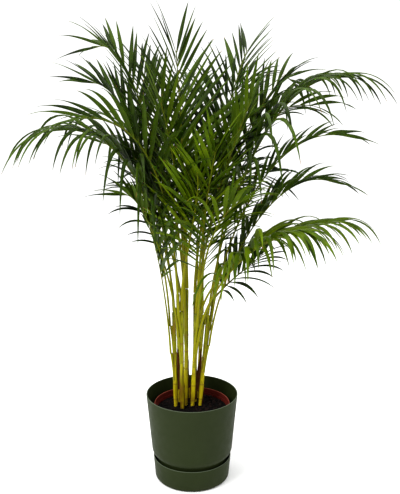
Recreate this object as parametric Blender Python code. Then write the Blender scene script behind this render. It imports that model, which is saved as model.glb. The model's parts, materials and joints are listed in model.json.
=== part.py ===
"""Potted areca palm, life size: a tapered planter in its water tray, the thin growing pot inside it,
potting soil, nine canes and twenty-eight feather-shaped fronds.

Metres, +Z up. The pot's axis is the Z axis and the tray stands on z = 0. Azimuths are in degrees,
anticlockwise from +X seen from above. A frond's shoulder and tip are given as (distance from the
pot's axis, height).
"""

import math
import random
from collections import namedtuple

import bmesh
import bpy
import numpy as np
from mathutils.bvhtree import BVHTree

# ---- driving dimensions ---------------------------------------------------------------------------
GAP = 0.0003              # air between pieces that rest on or in each other
SIDES = 48                # facets round every turned piece

TRAY_HEIGHT = 0.0611
TRAY_RIM_RADIUS = 0.105
TRAY_FOOT_RADIUS = 0.1008
TRAY_WALL = 0.0028
TRAY_FLOOR = 0.0040
TRAY_CORNER = 0.0080      # rounding between the tray's underside and its wall

PLANTER_HEIGHT = 0.2373
PLANTER_RIM_RADIUS = 0.1225
PLANTER_WALL = 0.0030
PLANTER_SLOPE = 0.0909    # how much the radius shrinks per metre of height
SHOULDER_HEIGHT = 0.0880  # where the planter starts to round in towards its foot
NECK_RADIUS = 0.0955      # where the rounding ends, just above the tray's rim
NECK_HEIGHT = 0.0680
FOOT_RADIUS = 0.0885
LIP = 0.0015              # rounding of the planter's and the tray's top edges

GROWING_POT_RIM_RADIUS = 0.101
GROWING_POT_RIM_HEIGHT = 0.209
GROWING_POT_BAND = 0.014   # height of the stiffening band under the rim
GROWING_POT_FOOT_RADIUS = 0.0735
GROWING_POT_WALL = 0.0015
GROWING_POT_TAPER = 0.0015 # how far the band's foot is set in from its rim
GROWING_POT_LEDGE = 0.0035 # how far the wall under the band is set in from the rim

DRAIN_HOLES = 6
DRAIN_RADIUS = 0.004
PLANTER_DRAINS = 0.60      # radius of the circle of holes, as a share of the foot's radius
GROWING_POT_DRAINS = 0.78
CUT_PAST = 0.002           # how far a cutter passes the face that it cuts through

SOIL_TOP = 0.196
SOIL_EDGE = 0.1905
SOCKET_DEPTH = 0.030       # how deep the canes stand in the soil

CANE_SIDES = 8
CANE_RADII = (0.0064, 0.0050)   # at the soil, at the top
CANES = {  # foot (x, y), top (x, y, z)
    "cane_1": ((-0.044, 0.010), (-0.048, 0.016, 0.46)),
    "cane_2": ((-0.033, 0.034), (-0.038, 0.048, 0.50)),
    "cane_3": ((-0.026, -0.009), (-0.027, -0.014, 0.47)),
    "cane_4": ((-0.017, 0.013), (-0.013, 0.022, 0.52)),
    "cane_5": ((0.008, 0.036), (0.008, 0.050, 0.50)),
    "cane_6": ((0.001, 0.003), (0.012, -0.005, 0.46)),
    "cane_7": ((0.021, 0.012), (0.043, 0.024, 0.45)),
    "cane_8": ((-0.012, 0.060), (-0.020, 0.084, 0.47)),
    "cane_9": ((0.018, 0.062), (0.026, 0.090, 0.45)),
}

MIDRIB_RADII = (0.0042, 0.0013)  # at the cane, at the frond's tip
STALK_GAP = 0.0006               # air between a frond's stalk and its cane
STALK_RINGS = 7                  # rings of the solid along the part without leaflets
SHOULDER_SHARE = 0.62            # where along its curve a frond passes its shoulder
LINE_STEPS = 120                 # points along a frond's midline
LEAFLET_STEPS = 12               # points along a leaflet's midline
LEAFLET_FOOT = 0.40              # length of a leaflet's foot, in spacings between leaflets
LEAFLET_WIDEST = 0.45            # where along itself a leaflet is widest
LEAFLET_THICKNESS = 0.0016
LEAFLET_LOUVRE = 38              # degrees that a leaflet's leading edge is turned down
CLEARANCE = 0.0006               # least air round a leaflet
FREE_FROM = 0.12                 # share of a leaflet from which it must be clear of its own frond

# cane it grows on, height where it leaves the cane, azimuth of shoulder and tip, shoulder, tip,
# share of its length that is bare stalk, leaflet length and width, pairs of leaflets, how much they droop
Frond = namedtuple("Frond", "cane start azimuth shoulder tip bare leaflet width pairs droop")
FRONDS = {
    "left_arching": Frond("cane_1", 0.42, (184, 190), (0.150, 0.830), (0.315, 0.935), 0.42, 0.29, 0.013, 13, 1.30),
    "left_upper": Frond("cane_1", 0.46, (165, 165), (0.148, 0.924), (0.262, 1.048), 0.42, 0.20, 0.014, 12, 0.25),
    "left_high": Frond("cane_2", 0.50, (150, 150), (0.160, 1.020), (0.286, 1.141), 0.42, 0.20, 0.014, 12, 0.30),
    "top": Frond("cane_4", 0.52, (110, 108), (0.075, 0.900), (0.130, 1.130), 0.40, 0.22, 0.015, 13, 0.20),
    "top_right": Frond("cane_5", 0.50, (60, 60), (0.180, 0.960), (0.305, 1.140), 0.42, 0.21, 0.014, 13, 0.25),
    "right_high": Frond("cane_7", 0.45, (5, 5), (0.190, 0.930), (0.365, 1.060), 0.42, 0.29, 0.013, 13, 1.30),
    "right_spear": Frond("cane_7", 0.43, (355, 355), (0.200, 0.840), (0.383, 0.918), 0.42, 0.13, 0.010, 10, 0.45),
    "right_middle": Frond("cane_7", 0.364, (350, 350), (0.190, 0.740), (0.342, 0.813), 0.42, 0.15, 0.012, 10, 0.60),
    "right_low": Frond("cane_6", 0.44, (342, 340), (0.180, 0.650), (0.350, 0.720), 0.36, 0.23, 0.013, 12, 1.30),
    "right_front": Frond("cane_6", 0.384, (326, 325), (0.170, 0.640), (0.306, 0.709), 0.40, 0.22, 0.014, 11, 1.30),
    "right_rear_low": Frond("cane_9", 0.40, (30, 20), (0.120, 0.530), (0.199, 0.600), 0.45, 0.14, 0.013, 7, 0.60),
    "left_low": Frond("cane_3", 0.40, (200, 200), (0.110, 0.700), (0.172, 0.779), 0.45, 0.15, 0.013, 8, 0.45),
    "left_thin": Frond("cane_1", 0.344, (190, 182), (0.085, 0.600), (0.110, 0.690), 0.60, 0.12, 0.010, 5, 0.40),
    "centre_bright": Frond("cane_3", 0.47, (275, 275), (0.100, 0.740), (0.140, 0.850), 0.40, 0.18, 0.019, 9, 0.30),
    "centre_right": Frond("cane_6", 0.46, (290, 290), (0.100, 0.740), (0.165, 0.890), 0.40, 0.18, 0.016, 9, 0.35),
    "left_front": Frond("cane_3", 0.458, (223, 205), (0.130, 0.860), (0.269, 0.965), 0.42, 0.20, 0.013, 11, 0.55),
    "rear_left": Frond("cane_8", 0.47, (125, 125), (0.140, 0.900), (0.240, 1.090), 0.40, 0.21, 0.014, 12, 0.35),
    "rear": Frond("cane_8", 0.45, (95, 90), (0.160, 0.880), (0.280, 1.040), 0.40, 0.22, 0.014, 12, 0.55),
    "rear_right": Frond("cane_9", 0.45, (66, 55), (0.140, 0.880), (0.260, 1.060), 0.40, 0.22, 0.014, 12, 0.50),
    "right_upper": Frond("cane_5", 0.48, (30, 30), (0.190, 0.960), (0.301, 1.058), 0.42, 0.20, 0.013, 11, 0.50),
    "right_inner": Frond("cane_7", 0.404, (40, 15), (0.190, 0.880), (0.324, 0.991), 0.42, 0.18, 0.013, 10, 0.60),
    "front_low": Frond("cane_6", 0.424, (292, 300), (0.130, 0.680), (0.220, 0.780), 0.42, 0.18, 0.014, 10, 0.70),
    "left_middle": Frond("cane_2", 0.46, (178, 178), (0.130, 0.800), (0.220, 0.900), 0.45, 0.18, 0.013, 10, 0.50),
    "rear_low_left": Frond("cane_8", 0.42, (128, 128), (0.170, 0.740), (0.250, 0.810), 0.42, 0.19, 0.013, 10, 0.75),
    "rear_low": Frond("cane_9", 0.43, (80, 80), (0.180, 0.760), (0.330, 0.840), 0.42, 0.21, 0.013, 10, 0.75),
    "rear_low_right": Frond("cane_9", 0.336, (80, 48), (0.170, 0.720), (0.300, 0.800), 0.42, 0.20, 0.013, 10, 0.75),
    "inner_left": Frond("cane_4", 0.48, (235, 235), (0.060, 0.800), (0.120, 1.000), 0.42, 0.19, 0.014, 10, 0.25),
    "inner_right": Frond("cane_5", 0.46, (330, 330), (0.090, 0.820), (0.160, 1.000), 0.42, 0.19, 0.014, 10, 0.30),
}

# What a leaflet in the way tries in turn: more droop, more lift in degrees, wider angle, shorter
ADJUSTMENTS = (
    (0.0, 0, 0, 1.0), (0.0, 9, 0, 1.0), (0.0, -9, 0, 1.0), (0.2, 0, 0, 1.0), (-0.15, 0, 0, 1.0),
    (0.0, 9, 9, 1.0), (0.0, -9, 9, 1.0), (0.0, 9, -9, 1.0), (0.0, -9, -9, 1.0), (0.0, 18, 0, 1.0),
    (0.0, 0, 0, 0.8), (0.2, 9, 9, 0.8), (0.0, -9, -9, 0.8), (0.0, 18, 9, 0.8), (0.2, -9, 0, 0.65),
    (0.0, 9, 0, 0.65), (0.0, 0, 0, 0.5), (0.0, 14, 9, 0.5), (0.0, -9, -9, 0.4), (0.0, 9, 0, 0.3),
)

UP = np.array((0.0, 0.0, 1.0))


# ---- scene and materials --------------------------------------------------------------------------
def clear_scene():
    for thing in list(bpy.data.objects):
        bpy.data.objects.remove(thing, do_unlink=True)


def material(name, colour, roughness, metallic=0.0):
    made = bpy.data.materials.new(name)
    made.use_nodes = True
    shader = made.node_tree.nodes["Principled BSDF"]
    shader.inputs["Base Color"].default_value = (*colour, 1.0)
    shader.inputs["Roughness"].default_value = roughness
    shader.inputs["Metallic"].default_value = metallic
    made.diffuse_color = (*colour, 1.0)
    return made


def add_piece(name, points, faces, finish, sharp_from=40):
    mesh = bpy.data.meshes.new(name)
    mesh.from_pydata([tuple(p) for p in points], [], faces)
    shape = bmesh.new()
    shape.from_mesh(mesh)
    bmesh.ops.recalc_face_normals(shape, faces=shape.faces)
    shape.to_mesh(mesh)
    shape.free()
    mesh.shade_smooth()
    mesh.set_sharp_from_angle(angle=math.radians(sharp_from))
    mesh.materials.append(finish)
    piece = bpy.data.objects.new(name, mesh)
    bpy.context.scene.collection.objects.link(piece)
    return piece


def add_cutter(name, shapes, cuts):
    """One hidden cutter made of separate closed shapes, taken out of the piece that it cuts."""
    points, faces = [], []
    for more_points, more_faces in shapes:
        faces += [[i + len(points) for i in face] for face in more_faces]
        points += list(more_points)
    cutter = add_piece(name, points, faces, cuts.data.materials[0])
    cutter.hide_render = True
    cutter.display_type = "WIRE"
    cut = cuts.modifiers.new(name, "BOOLEAN")
    cut.operation = "DIFFERENCE"
    cut.solver = "EXACT"
    cut.object = cutter


# ---- turned and tapered shapes --------------------------------------------------------------------
def turned(profile):
    """Points and faces of a closed (r, z) outline turned about Z; a point at r = 0 is a pole."""
    points, rings = [], []
    for r, z in profile:
        if r == 0:
            rings.append([len(points)] * SIDES)
            points.append((0.0, 0.0, z))
        else:
            rings.append([len(points) + k for k in range(SIDES)])
            turns = [2 * math.pi * k / SIDES for k in range(SIDES)]
            points += [(r * math.cos(a), r * math.sin(a), z) for a in turns]
    closed = profile[0][0] > 0
    faces = []
    for i in range(len(rings) if closed else len(rings) - 1):
        low, high = rings[i], rings[(i + 1) % len(rings)]
        for k in range(SIDES):
            corners = (low[k], low[(k + 1) % SIDES], high[(k + 1) % SIDES], high[k])
            face = list(dict.fromkeys(corners))
            if len(face) > 2:
                faces.append(face)
    return points, faces


def arc(centre, radii, start, end, steps):
    """Points of an ellipse's arc in the (r, z) plane, angles in degrees."""
    angles = [math.radians(start + (end - start) * k / steps) for k in range(steps + 1)]
    return [(centre[0] + radii[0] * math.cos(a), centre[1] + radii[1] * math.sin(a)) for a in angles]


def tapered_tube(foot, top, radii, sides):
    """A closed round bar with flat ends between two points, with a radius at each."""
    along = unit(top - foot)
    side = unit(np.cross(along, (0.0, 1.0, 0.0)))
    other = np.cross(along, side)
    turns = [2 * math.pi * k / sides for k in range(sides)]
    points = []
    for centre, radius in zip((foot, top), radii):
        points += [centre + radius * (math.cos(a) * side + math.sin(a) * other) for a in turns]
    faces = [[k, (k + 1) % sides, sides + (k + 1) % sides, sides + k] for k in range(sides)]
    faces += [list(range(sides)), list(range(sides, 2 * sides))]
    return points, faces


def unit(vector):
    return vector / np.linalg.norm(vector)


# ---- holders and soil -----------------------------------------------------------------------------
def planter_radius(z):
    return PLANTER_RIM_RADIUS - (PLANTER_HEIGHT - z) * PLANTER_SLOPE


def drain_shapes(circle_radius, low, high):
    shapes = []
    for k in range(DRAIN_HOLES):
        turn = 2 * math.pi * (k + 0.5) / DRAIN_HOLES
        x, y = circle_radius * math.cos(turn), circle_radius * math.sin(turn)
        foot, top = np.array((x, y, low)), np.array((x, y, high))
        shapes.append(tapered_tube(foot, top, (DRAIN_RADIUS, DRAIN_RADIUS), 12))
    return shapes


def lip(inner, outer, height):
    """Rounded top edge, from the outer wall over to the inner one."""
    middle = (inner + outer) / 2
    half = (outer - inner) / 2
    return arc((middle, height - LIP), (half, LIP), 0, 180, 4)


def add_tray(finish):
    inner_rim = TRAY_RIM_RADIUS - TRAY_WALL
    inner_foot = TRAY_FOOT_RADIUS - TRAY_WALL
    corner = (TRAY_FOOT_RADIUS - TRAY_CORNER, TRAY_CORNER)
    outline = [(0, 0)]
    outline += arc(corner, (TRAY_CORNER, TRAY_CORNER), -90, 0, 3)
    outline += lip(inner_rim, TRAY_RIM_RADIUS, TRAY_HEIGHT)
    outline += [(inner_foot, TRAY_CORNER), (inner_foot - TRAY_FLOOR, TRAY_FLOOR), (0, TRAY_FLOOR)]
    add_piece("tray", *turned(outline), finish)


def add_planter(finish):
    """The shell stands on the tray's floor; its neck lets the tray's wall pass outside it."""
    bottom = TRAY_FLOOR + GAP
    floor = bottom + PLANTER_WALL
    shoulder = planter_radius(SHOULDER_HEIGHT)
    drop = SHOULDER_HEIGHT - NECK_HEIGHT
    outline = [(0, bottom), (FOOT_RADIUS, bottom)]
    bulge = (shoulder - NECK_RADIUS, drop)
    outline += arc((NECK_RADIUS, SHOULDER_HEIGHT), bulge, -90, 0, 4)
    outline += lip(PLANTER_RIM_RADIUS - PLANTER_WALL, PLANTER_RIM_RADIUS, PLANTER_HEIGHT)
    inner_neck = NECK_RADIUS - PLANTER_WALL
    inner_bulge = (bulge[0], drop - PLANTER_WALL)
    outline += arc((inner_neck, SHOULDER_HEIGHT), inner_bulge, 0, -90, 4)
    outline += [(FOOT_RADIUS - PLANTER_WALL, floor), (0, floor)]
    planter = add_piece("planter", *turned(outline), finish)
    drains = drain_shapes(FOOT_RADIUS * PLANTER_DRAINS, bottom - CUT_PAST, floor + CUT_PAST)
    add_cutter("planter_drain_cutter", drains, planter)
    return floor


def growing_pot_radius(z, foot):
    """Outer radius of the growing pot's wall below its band, at a height."""
    under_band = GROWING_POT_RIM_RADIUS - GROWING_POT_LEDGE
    rise = GROWING_POT_RIM_HEIGHT - GROWING_POT_BAND - foot
    return GROWING_POT_FOOT_RADIUS + (under_band - GROWING_POT_FOOT_RADIUS) * (z - foot) / rise


def add_growing_pot(finish, planter_floor):
    foot = planter_floor + GAP
    wall = GROWING_POT_WALL
    band = GROWING_POT_RIM_HEIGHT - GROWING_POT_BAND
    rim, top = GROWING_POT_RIM_RADIUS, GROWING_POT_RIM_HEIGHT
    set_in = rim - GROWING_POT_TAPER
    under_band = growing_pot_radius(band, foot)
    outline = [(0, foot), (GROWING_POT_FOOT_RADIUS, foot), (under_band, band), (set_in, band)]
    outline += [(rim, top), (rim - wall, top), (set_in - wall, band + wall)]
    outline += [(under_band - wall, band + wall), (GROWING_POT_FOOT_RADIUS - wall, foot + wall)]
    outline += [(0, foot + wall)]
    pot = add_piece("growing_pot", *turned(outline), finish)
    circle = GROWING_POT_FOOT_RADIUS * GROWING_POT_DRAINS
    drains = drain_shapes(circle, foot - CUT_PAST, foot + wall + CUT_PAST)
    add_cutter("growing_pot_drain_cutter", drains, pot)
    return foot


def add_soil(finish, pot_foot):
    """A low mound that fills the growing pot, with a socket for each cane."""
    bottom = pot_foot + GROWING_POT_WALL + GAP
    inset = GROWING_POT_WALL + GAP
    edge = growing_pot_radius(SOIL_EDGE, pot_foot) - inset
    outline = [(0, bottom), (growing_pot_radius(bottom, pot_foot) - inset, bottom), (edge, SOIL_EDGE)]
    for share in (0.8, 0.5, 0.2):
        height = SOIL_EDGE + (SOIL_TOP - SOIL_EDGE) * math.cos(share * math.pi / 2)
        outline.append((edge * share, height))
    outline.append((0, SOIL_TOP))
    soil = add_piece("soil", *turned(outline), finish)
    sockets = []
    for cane in CANES:
        foot = cane_axis(cane, SOIL_TOP - SOCKET_DEPTH)[0]
        above, _, radius = cane_axis(cane, SOIL_TOP + 0.01)
        widest = CANE_RADII[0] + GAP
        sockets.append(tapered_tube(foot, above, (widest, radius + GAP), CANE_SIDES))
    add_cutter("socket_cutter", sockets, soil)


# ---- canes ----------------------------------------------------------------------------------------
def cane_axis(cane, z):
    """Point on a cane's axis at a height, the axis' direction, and the cane's radius there."""
    (foot_x, foot_y), (top_x, top_y, top_z) = CANES[cane]
    foot, top = np.array((foot_x, foot_y, SOIL_TOP)), np.array((top_x, top_y, top_z))
    share = (z - SOIL_TOP) / (top_z - SOIL_TOP)
    radius = CANE_RADII[0] + (CANE_RADII[1] - CANE_RADII[0]) * min(1, max(0, share))
    return foot + (top - foot) * share, unit(top - foot), radius


def cane_shape(cane):
    foot = cane_axis(cane, SOIL_TOP - SOCKET_DEPTH + GAP)[0]
    top = cane_axis(cane, CANES[cane][1][2])[0]
    return tapered_tube(foot, top, CANE_RADII, CANE_SIDES)


# ---- a frond's midline ----------------------------------------------------------------------------
def polar(r, azimuth, z):
    turn = math.radians(azimuth)
    return np.array((r * math.cos(turn), r * math.sin(turn), z))


def midline(frond):
    """Evenly spaced points of a frond's midline, from its cane, past its shoulder, to its tip."""
    centre, along, radius = cane_axis(frond.cane, frond.start)
    out = polar(1, frond.azimuth[0], 0)
    out = unit(out - along * out.dot(along))
    if frond.start >= CANES[frond.cane][1][2] - GAP:
        start = centre + along * STALK_GAP
    else:
        start = centre + out * (radius + MIDRIB_RADII[0] + STALK_GAP)
    shoulder = polar(frond.shoulder[0], frond.azimuth[0], frond.shoulder[1])
    tip = polar(frond.tip[0], frond.azimuth[1], frond.tip[1])
    first = start + unit(along + 0.03 * out) * 0.50 * np.linalg.norm(shoulder - start)
    t = SHOULDER_SHARE
    rest = shoulder - (1 - t) ** 3 * start - 3 * (1 - t) ** 2 * t * first - t ** 3 * tip
    second = rest / (3 * (1 - t) * t ** 2)
    u = np.linspace(0, 1, LINE_STEPS)[:, None]
    curve = (1 - u) ** 3 * start + 3 * (1 - u) ** 2 * u * first + 3 * (1 - u) * u ** 2 * second + u ** 3 * tip
    run = np.concatenate(([0], np.cumsum(np.linalg.norm(np.diff(curve, axis=0), axis=1))))
    even = np.linspace(0, run[-1], LINE_STEPS)
    return np.stack([np.interp(even, run, curve[:, k]) for k in range(3)], axis=1)


def line_frames(line, azimuth):
    """Forward, leftward and upper-face directions at each point of a midline."""
    forward = np.gradient(line, axis=0)
    forward /= np.linalg.norm(forward, axis=1)[:, None]
    left = polar(1, azimuth + 90, 0)
    lefts = []
    for ahead in forward:
        left = unit(left - ahead * ahead.dot(left))
        lefts.append(left)
    lefts = np.array(lefts)
    return forward, lefts, np.cross(forward, lefts)


def at_share(values, share):
    """The value at a share of a midline's length."""
    place = share * (LINE_STEPS - 1)
    return np.array([np.interp(place, range(LINE_STEPS), values[:, k]) for k in range(3)])


def midrib_rings(frond):
    """Three-cornered rings along a frond (top, left and right corner), and the first ring of each pair."""
    line = midline(frond)
    frames = line_frames(line, frond.azimuth[0])
    spacing = (1 - frond.bare) / frond.pairs
    shares = [frond.bare * k / STALK_RINGS for k in range(STALK_RINGS)]
    pair_rings = []
    for pair in range(frond.pairs):
        pair_rings.append(len(shares))
        at = frond.bare + pair * spacing
        shares += [at, at + LEAFLET_FOOT * spacing]
    shares.append(1.0)
    rings = []
    for share in shares:
        centre = at_share(line, share)
        forward, left, face = (unit(at_share(frame, share)) for frame in frames)
        radius = MIDRIB_RADII[0] + (MIDRIB_RADII[1] - MIDRIB_RADII[0]) * share
        corners = (centre + radius * face,
                   centre + radius * (0.85 * left - 0.5 * face),
                   centre - radius * (0.85 * left + 0.5 * face))
        rings.append((centre, forward, left, face, corners))
    return rings, pair_rings


# ---- leaflets -------------------------------------------------------------------------------------
def leaflet_line(root, direction, length, droop):
    """Points and directions of a leaflet's midline, which bends down more towards its tip."""
    points, directions = [root], [direction]
    for k in range(LEAFLET_STEPS):
        u = (k + 0.5) / LEAFLET_STEPS
        heading = unit(direction - UP * droop * (0.35 * u + 0.9 * u ** 2.2))
        points.append(points[-1] + heading * length / LEAFLET_STEPS)
        directions.append(heading)
    return np.array(points), np.array(directions)


def blade_ring(centre, heading, forward, face, side, width, thickness):
    """Rear edge, ridge and front edge of a leaflet's three-cornered section."""
    across = unit(forward - heading * heading.dot(forward))
    above = unit(np.cross(heading, across) * side)
    if above.dot(face) < 0:
        above = -above
    louvre = math.radians(LEAFLET_LOUVRE)
    across, above = (across * math.cos(louvre) - above * math.sin(louvre),
                     above * math.cos(louvre) + across * math.sin(louvre))
    return [centre - across * width / 2, centre + above * thickness, centre + across * width / 2]


def leaflet_corners(foot, ring_frame, side, angle, lift, length, width, droop):
    """The widest section and the tip of one leaflet on its foot of four corners."""
    _, forward, left, face, _ = ring_frame
    sideways = math.cos(lift) * left * side + math.sin(lift) * face
    direction = unit(math.cos(angle) * forward + math.sin(angle) * sideways)
    points, headings = leaflet_line(sum(foot) / 4, direction, length, droop)
    widest = round(LEAFLET_WIDEST * LEAFLET_STEPS)
    middle, heading = points[widest], headings[widest]
    section = blade_ring(middle, heading, forward, face, side, width, LEAFLET_THICKNESS)
    return section, points[-1]


def guard(foot, section, tip, free_from):
    """A closed shape a little fatter than a leaflet beyond a share of it, to feel for its neighbours with."""
    share = free_from / LEAFLET_WIDEST
    if free_from:
        near = [sum(foot) / 4 * (1 - share) + corner * share for corner in section]
    else:
        near = [foot[3], (foot[0] + foot[1]) / 2, foot[2]]
    rings = []
    for ring in (near, section):
        middle = sum(ring) / 3
        rings.append([corner + unit(corner - middle) * CLEARANCE for corner in ring])
    ahead = unit(tip - sum(section) / 3) * CLEARANCE
    points = rings[0] + rings[1] + [tip + ahead]
    faces = [(0, 1, 2)]
    for k in range(3):
        after = (k + 1) % 3
        faces += [(k, after, 3 + after), (k, 3 + after, 3 + k), (3 + k, 3 + after, 6)]
    return points, faces


class Obstacle:
    """A closed shape that others are felt against."""

    def __init__(self, points, faces):
        points = np.array([tuple(p) for p in points])
        self.low, self.high = points.min(axis=0), points.max(axis=0)
        self.tree = BVHTree.FromPolygons([tuple(p) for p in points], faces)

    def touches(self, other):
        apart = (self.low > other.high).any() or (other.low > self.high).any()
        return not apart and bool(self.tree.overlap(other.tree))


def leaflet_faces(foot, section, tip):
    """Faces between a foot (top rear, top front, bottom front, bottom rear), a section and the tip."""
    top_rear, top_front, low_front, low_rear = foot
    rear, ridge, front = section
    return [(top_rear, ridge, rear), (top_rear, top_front, ridge), (top_front, front, ridge),
            (top_front, low_front, front), (low_front, low_rear, rear), (low_front, rear, front),
            (low_rear, top_rear, rear), (rear, ridge, tip), (ridge, front, tip), (front, rear, tip)]


def midrib_shape(rings):
    points = [corner for ring in rings for corner in ring[4]]
    faces = [(0, 1, 2), tuple(len(points) - k for k in (1, 2, 3))]
    for i in range(len(rings) - 1):
        for a, b in ((0, 1), (1, 2), (2, 0)):
            faces.append((3 * i + a, 3 * i + b, 3 * i + 3 + b, 3 * i + 3 + a))
    return points, faces


def grow_frond(name, frond, rings, pair_rings, others):
    """One closed solid: a three-cornered midrib with leaflets grown out of its two upper faces."""
    chance = random.Random(name)
    points = [corner for ring in rings for corner in ring[4]]
    faces = [(0, 1, 2), tuple(len(points) - k for k in (1, 2, 3))]
    grown = []
    feet = {}
    for pair, ring in enumerate(pair_rings):
        s = pair / (frond.pairs - 1)
        for side, corner in ((1, 1), (-1, 2)):
            foot_index = (3 * ring, 3 * ring + 3, 3 * ring + 3 + corner, 3 * ring + corner)
            foot = [points[i] for i in foot_index]
            angle = 58 - 39 * s ** 0.9 + chance.uniform(-5, 5)
            lift = 22 + chance.uniform(-9, 9)
            swell = 0.70 + 0.30 * math.sin(math.pi * min(1, s * 1.25) ** 0.8) - 0.08 * s
            length = frond.leaflet * swell * chance.uniform(0.92, 1.06)
            droop = frond.droop * chance.uniform(0.7, 1.3)
            width = frond.width * (0.75 + 0.25 * math.sin(math.pi * s ** 0.7))
            for more_droop, more_lift, wider, shorter in ADJUSTMENTS:
                section, tip = leaflet_corners(
                    foot, rings[ring], side, math.radians(angle + wider), math.radians(lift + more_lift),
                    length * shorter, width, droop + more_droop)
                whole = Obstacle(*guard(foot, section, tip, 0))
                free_part = Obstacle(*guard(foot, section, tip, FREE_FROM))
                real = Obstacle(foot + section + [tip], leaflet_faces((0, 1, 2, 3), (4, 5, 6), 7))
                among_others = any(whole.touches(other) or real.touches(other) for other in others)
                if not among_others and not any(free_part.touches(other) for other in grown):
                    feet[ring, corner] = (foot_index, section, tip)
                    grown.append(free_part)
                    break
    for i in range(len(rings) - 1):
        for a, b in ((0, 1), (1, 2), (2, 0)):
            corner = {(0, 1): 1, (2, 0): 2}.get((a, b))
            if (i, corner) not in feet:
                faces.append((3 * i + a, 3 * i + b, 3 * i + 3 + b, 3 * i + 3 + a))
    for foot_index, section, tip in feet.values():
        first = len(points)
        points += section + [tip]
        faces += leaflet_faces(foot_index, (first, first + 1, first + 2), first + 3)
    return points, faces


# ---- the whole plant ------------------------------------------------------------------------------
def add_plant(cane_finish, leaf_finish, young_finish):
    obstacles = []
    for cane in CANES:
        shape = cane_shape(cane)
        obstacles.append(Obstacle(*shape))
        add_piece(cane, *shape, cane_finish)
    midribs = {name: midrib_rings(frond) for name, frond in FRONDS.items()}
    stalks = {name: Obstacle(*midrib_shape(rings)) for name, (rings, _) in midribs.items()}
    for name, frond in FRONDS.items():
        rings, pair_rings = midribs[name]
        others = obstacles + [stalk for other, stalk in stalks.items() if other != name]
        points, faces = grow_frond(name, frond, rings, pair_rings, others)
        obstacles.append(Obstacle(points, faces))
        young = name in ("centre_bright", "centre_right")
        add_piece("frond_" + name, points, faces, young_finish if young else leaf_finish)


def build():
    clear_scene()
    green_plastic = material("planter_green", (0.050, 0.074, 0.028), 0.62)
    brown_plastic = material("growing_pot_brown", (0.30, 0.065, 0.040), 0.50)
    earth = material("potting_soil", (0.018, 0.013, 0.011), 0.95)
    cane_finish = material("cane_yellow_green", (0.42, 0.36, 0.045), 0.45)
    leaf_finish = material("leaf_green", (0.045, 0.110, 0.018), 0.38)
    young_finish = material("leaf_young_green", (0.17, 0.28, 0.018), 0.38)
    add_tray(green_plastic)
    planter_floor = add_planter(green_plastic)
    pot_foot = add_growing_pot(brown_plastic, planter_floor)
    add_soil(earth, pot_foot)
    add_plant(cane_finish, leaf_finish, young_finish)


build()
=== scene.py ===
"""The looks of a potted areca palm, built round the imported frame: holders, soil, canes and fronds."""
import json
import math
import random
from collections import namedtuple

import bmesh
import bpy
import numpy as np
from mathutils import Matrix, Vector, noise

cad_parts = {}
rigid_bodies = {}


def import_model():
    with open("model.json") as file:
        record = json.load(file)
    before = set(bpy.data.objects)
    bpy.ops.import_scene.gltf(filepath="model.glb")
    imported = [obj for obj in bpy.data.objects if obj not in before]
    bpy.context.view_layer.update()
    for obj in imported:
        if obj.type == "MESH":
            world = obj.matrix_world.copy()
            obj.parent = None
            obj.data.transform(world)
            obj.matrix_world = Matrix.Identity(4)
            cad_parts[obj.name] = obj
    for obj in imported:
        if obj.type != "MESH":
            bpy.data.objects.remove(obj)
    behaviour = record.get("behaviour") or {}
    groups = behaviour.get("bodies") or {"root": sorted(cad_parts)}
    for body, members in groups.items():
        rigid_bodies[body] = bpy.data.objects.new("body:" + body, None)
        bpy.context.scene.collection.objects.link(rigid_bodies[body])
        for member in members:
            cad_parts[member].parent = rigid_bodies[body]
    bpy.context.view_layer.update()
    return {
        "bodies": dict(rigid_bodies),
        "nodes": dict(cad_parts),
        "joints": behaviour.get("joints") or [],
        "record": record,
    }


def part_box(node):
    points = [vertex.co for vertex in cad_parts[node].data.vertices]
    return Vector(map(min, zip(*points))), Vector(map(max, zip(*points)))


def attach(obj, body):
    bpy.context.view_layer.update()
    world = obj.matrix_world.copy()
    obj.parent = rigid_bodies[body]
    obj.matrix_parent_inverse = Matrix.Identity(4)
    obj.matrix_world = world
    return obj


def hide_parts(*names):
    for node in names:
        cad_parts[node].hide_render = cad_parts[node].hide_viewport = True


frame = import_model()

BODY = "root"

# ---- camera, floor and light ----------------------------------------------------------------------
CAMERA_PLACE = (0.0215, -1.7223, 1.0039)
CAMERA_PITCH = 77.963         # degrees up from straight down
LENS = 50.0                   # millimetres
FLOOR_HALF = 9.0
FLOOR_WHITE = (0.97, 0.97, 0.97, 1)
LIGHT_AIM = (0, 0, 0.6)
LIGHTS = {  # place, size, power in watts
    "key": ((-2.0, -1.6, 2.3), (1.6, 1.6), 70),
    "fill": ((2.2, -1.8, 1.4), (1.6, 1.6), 14),
    "top": ((0.0, 0.4, 3.2), (1.8, 1.8), 40),
}

# ---- holders --------------------------------------------------------------------------------------
SIDES = 160
GAP = 0.0003                  # air between pieces that rest on or in each other
TRAY_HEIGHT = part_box("tray")[1][2]
TRAY_RIM_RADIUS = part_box("tray")[1][0]
TRAY_TAPER = 0.0042
TRAY_FOOT_RADIUS = TRAY_RIM_RADIUS - TRAY_TAPER
TRAY_WALL = 0.0028
TRAY_FLOOR = 0.0040
TRAY_CORNER = 0.0080
TRAY_FLAT = 0.985             # edge of the flat underside, as a share of where the corner starts
PLANTER_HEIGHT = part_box("planter")[1][2]
PLANTER_RIM_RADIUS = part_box("planter")[1][0]
PLANTER_WALL = 0.0030
PLANTER_SLOPE = 0.0909        # how much the radius shrinks per metre of height
SHOULDER_HEIGHT = 0.0880      # where the planter starts to round in towards its foot
NECK_RADIUS = 0.0955          # where the rounding ends, just above the tray's rim
NECK_HEIGHT = 0.0680
FOOT_RADIUS = 0.0885
LIP = 0.0015                  # rounding of the planter's and the tray's top edges
RIM_HIGHLIGHT_BAND = 0.0008                 # height of the band of painted highlight along a rim's top edge
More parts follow.
